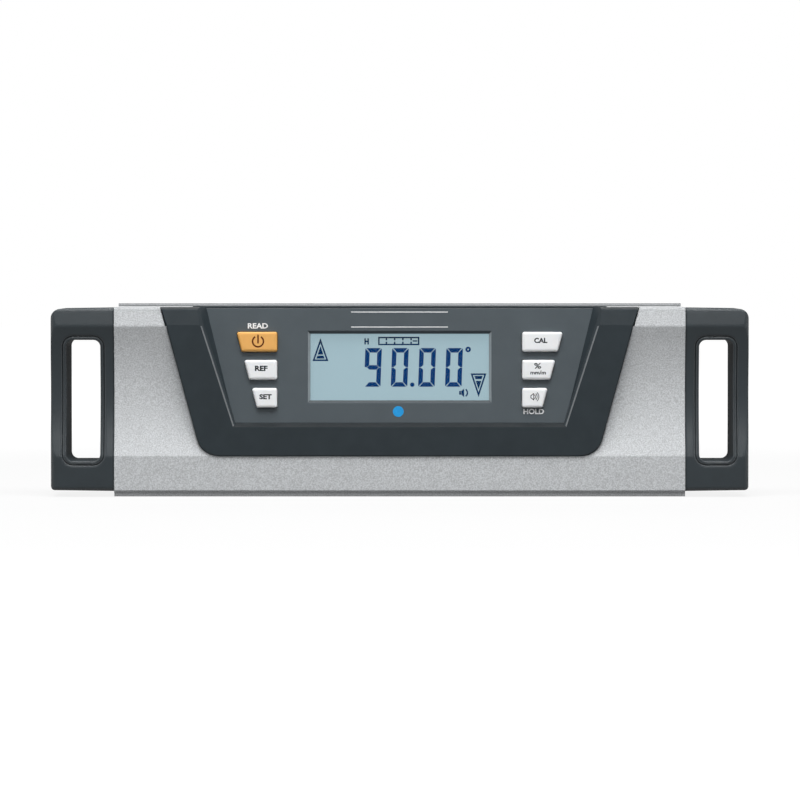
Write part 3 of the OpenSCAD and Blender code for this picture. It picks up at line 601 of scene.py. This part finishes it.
# Painted highlights along the two side edges of the recess
EDGE_FROM, EDGE_TO = 0.1, 0.55
edges = []
for side in (-1, 1):
    edges.append([recess_point(side, EDGE_FROM, RECESS_HEAD - 0.3),
                  recess_point(side, EDGE_TO, RECESS_HEAD - 0.3),
                  recess_point(side, EDGE_TO, RECESS_FOOT + 0.4),
                  recess_point(side, EDGE_FROM, RECESS_FOOT + 0.1)])
facet("recess_edges", edges, painted_edge_highlight)

WINDOW_HALF, WINDOW_HEAD, WINDOW_FOOT = 29.6, -7.4, -30.3
SIDE_BEVEL, SIDE_TOP = 0.75, -0.1
FOOT_HALF, FOOT_BEVEL, FOOT_TOP, FOOT_EDGE = 29.5, 0.7, -0.15, -30.35


def window_point(u, v, w):
    return tuple(PANEL @ Vector((u, v, w)))


# Painted highlights on the display window's side bevels
sides = []
for side in (-1, 1):
    outer, inner = side * WINDOW_HALF, side * (WINDOW_HALF - SIDE_BEVEL)
    deep = SIDE_TOP - SIDE_BEVEL
    sides.append([window_point(outer, WINDOW_HEAD, SIDE_TOP),
                  window_point(inner, WINDOW_HEAD - SIDE_BEVEL, deep),
                  window_point(inner, WINDOW_FOOT + SIDE_BEVEL, deep),
                  window_point(outer, WINDOW_FOOT, SIDE_TOP)])
facet("window_sides", sides, painted_bevel_highlight)
# Painted shade on the display window's foot bevel
inner, deep = FOOT_HALF - FOOT_BEVEL, FOOT_TOP - FOOT_BEVEL
foot = [window_point(-FOOT_HALF, FOOT_EDGE, FOOT_TOP), window_point(FOOT_HALF, FOOT_EDGE, FOOT_TOP),
        window_point(inner, FOOT_EDGE + FOOT_BEVEL, deep),
        window_point(-inner, FOOT_EDGE + FOOT_BEVEL, deep)]
facet("window_foot", [foot], painted_bevel_shade)

# Print on the keys
power = arc(-45.65, -10.7, 1.75, 0.5, 122, 418, 40)
power.append(bar(-45.9, -11.35, -45.4, -8.5))
print_piece("legend_power", power, KEY_FACE, brown_ink, "power_button")
KEY_WORDS = (
    ("reference_button", ("legend_reference", "REF", (-44.6, -19.4), 1.7, 4.1, 0.04)),
    ("set_button", ("legend_set", "SET", (-43.2, -28.55), 1.66, 4.0, 0.04)),
    ("calibrate_button", ("legend_calibrate", "CAL", (45.45, -10.4), 1.7, 4.25, 0.04)),
    ("unit_button", ("legend_percent", "%", (44.45, -18.6), 1.85, 2.3, 0.02)),
    ("unit_button", ("legend_slope", "mm/m", (44.6, -20.75), 1.25, 5.0, 0.03)),
)
for body, word in KEY_WORDS:
    legend(*word, KEY_FACE, grey_ink, "charcoal_plastic", body)
speaker = frame_of([(43.3, -29.8), (43.3, -27.3), (42.1, -28.15), (42.1, -28.95)], 0.26)
for i in range(3):
    speaker += arc(42.75, -28.55, 0.95 + 0.55 * i, 0.24, -44, 44, 10)
print_piece("legend_sound", speaker, KEY_FACE, grey_ink, "hold_button")


# Floor, light and camera

LAMP_AIM = Vector((0, 0, 0.03))
# Each lamp: name, place in metres, width, height, watts
LAMPS = (
    ("main_light", (0.0, -0.47, 1.19), 1.3, 0.6, 24.5),
    ("front_light", (0.0, -1.55, 0.55), 0.6, 0.25, 3.3),
    ("left_light", (-1.36, -0.47, 0.46), 0.3, 0.9, 3.2),
    ("right_light", (1.36, -0.47, 0.46), 0.3, 0.9, 3.2),
    ("back_light", (-0.1, 1.4, 0.72), 1.4, 0.6, 10),
)


def soft_box(name, place, width, height, watts):
    lamp = bpy.data.lights.new(name, "AREA")
    lamp.shape = "RECTANGLE"
    lamp.size = width
    lamp.size_y = height
    lamp.energy = watts
    obj = bpy.data.objects.new(name, lamp)
    obj.location = place
    obj.rotation_euler = (LAMP_AIM - Vector(place)).to_track_quat("-Z", "Y").to_euler()
    scene.collection.objects.link(obj)


def seen_directly(tree):
    """1 for rays from the camera, mirrors and glass."""
    path = tree.nodes.new("ShaderNodeLightPath")
    first = tree.nodes.new("ShaderNodeMath")
    first.operation = "MAXIMUM"
    second = tree.nodes.new("ShaderNodeMath")
    second.operation = "MAXIMUM"
    tree.links.new(path.outputs["Is Camera Ray"], first.inputs[0])
    tree.links.new(path.outputs["Is Glossy Ray"], first.inputs[1])
    tree.links.new(first.outputs[0], second.inputs[0])
    tree.links.new(path.outputs["Is Transmission Ray"], second.inputs[1])
    return second.outputs[0]


FLOOR_COLOUR = 0.085
FLOOR_GLOW = 0.857
FLOOR_NEAR, FLOOR_FAR = 0.25, 0.7
FLOOR_REACH = 4
FLOOR_DROP = 0.0002
AMBIENT = 0.03

world = bpy.data.worlds.new("studio")
scene.world = world
world.use_nodes = True
tree = world.node_tree
tree.nodes.clear()
out = tree.nodes.new("ShaderNodeOutputWorld")
white = tree.nodes.new("ShaderNodeBackground")
white.inputs["Color"].default_value = (1, 1, 1, 1)
dome = tree.nodes.new("ShaderNodeBackground")
dome.inputs["Color"].default_value = (1, 1, 1, 1)
dome.inputs["Strength"].default_value = AMBIENT
mix = tree.nodes.new("ShaderNodeMixShader")
tree.links.new(seen_directly(tree), mix.inputs["Fac"])
tree.links.new(dome.outputs[0], mix.inputs[1])
tree.links.new(white.outputs[0], mix.inputs[2])
tree.links.new(mix.outputs[0], out.inputs["Surface"])

floor_mesh = bpy.data.meshes.new("studio_floor")
floor_corners = [(x * FLOOR_REACH, y * FLOOR_REACH, 0) for x, y in bar(-1, -1, 1, 1)]
floor_mesh.from_pydata(floor_corners, [], [(0, 1, 2, 3)])
floor = bpy.data.objects.new("studio_floor", floor_mesh)
floor.location.z = -FLOOR_DROP
scene.collection.objects.link(floor)
floor_mat = bpy.data.materials.new("studio_floor_finish")
floor_mat.use_nodes = True
tree = floor_mat.node_tree
tree.nodes.remove(tree.nodes["Principled BSDF"])
lit = tree.nodes.new("ShaderNodeBsdfDiffuse")
lit.inputs["Color"].default_value = (FLOOR_COLOUR, FLOOR_COLOUR, FLOOR_COLOUR, 1)
glow = tree.nodes.new("ShaderNodeEmission")
place = tree.nodes.new("ShaderNodeTexCoord")
reach = tree.nodes.new("ShaderNodeVectorMath")
reach.operation = "LENGTH"
tree.links.new(place.outputs["Object"], reach.inputs[0])
fade = tree.nodes.new("ShaderNodeMapRange")
fade.interpolation_type = "SMOOTHSTEP"
fade.inputs["From Min"].default_value = FLOOR_NEAR
fade.inputs["From Max"].default_value = FLOOR_FAR
fade.inputs["To Min"].default_value = FLOOR_GLOW
fade.inputs["To Max"].default_value = 1.0
tree.links.new(reach.outputs["Value"], fade.inputs["Value"])
level = tree.nodes.new("ShaderNodeMath")
level.operation = "MULTIPLY"
tree.links.new(seen_directly(tree), level.inputs[0])
tree.links.new(fade.outputs["Result"], level.inputs[1])
tree.links.new(level.outputs[0], glow.inputs["Strength"])
both = tree.nodes.new("ShaderNodeAddShader")
tree.links.new(lit.outputs[0], both.inputs[0])
tree.links.new(glow.outputs[0], both.inputs[1])
tree.links.new(both.outputs[0], tree.nodes["Material Output"].inputs["Surface"])
floor_mesh.materials.append(floor_mat)

for lamp in LAMPS:
    soft_box(*lamp)

VIEW_ELEVATION = math.radians(1.7)
VIEW_DISTANCE = 1.486
FRAME_WIDTH = 0.2575
SENSOR_WIDTH = 36
AIM = Vector((0.0001, BEZEL_FRONT * MM, 0.0311))
camera = bpy.data.cameras.new("photo_camera")
camera.sensor_width = SENSOR_WIDTH
camera.lens = SENSOR_WIDTH * VIEW_DISTANCE / FRAME_WIDTH
camera.clip_end = 20
camera_obj = bpy.data.objects.new("photo_camera", camera)
view_from = Vector((0, -math.cos(VIEW_ELEVATION), math.sin(VIEW_ELEVATION)))
camera_obj.location = AIM + VIEW_DISTANCE * view_from
camera_obj.rotation_euler = (math.pi / 2 - VIEW_ELEVATION, 0, 0)
scene.collection.objects.link(camera_obj)
scene.camera = camera_obj
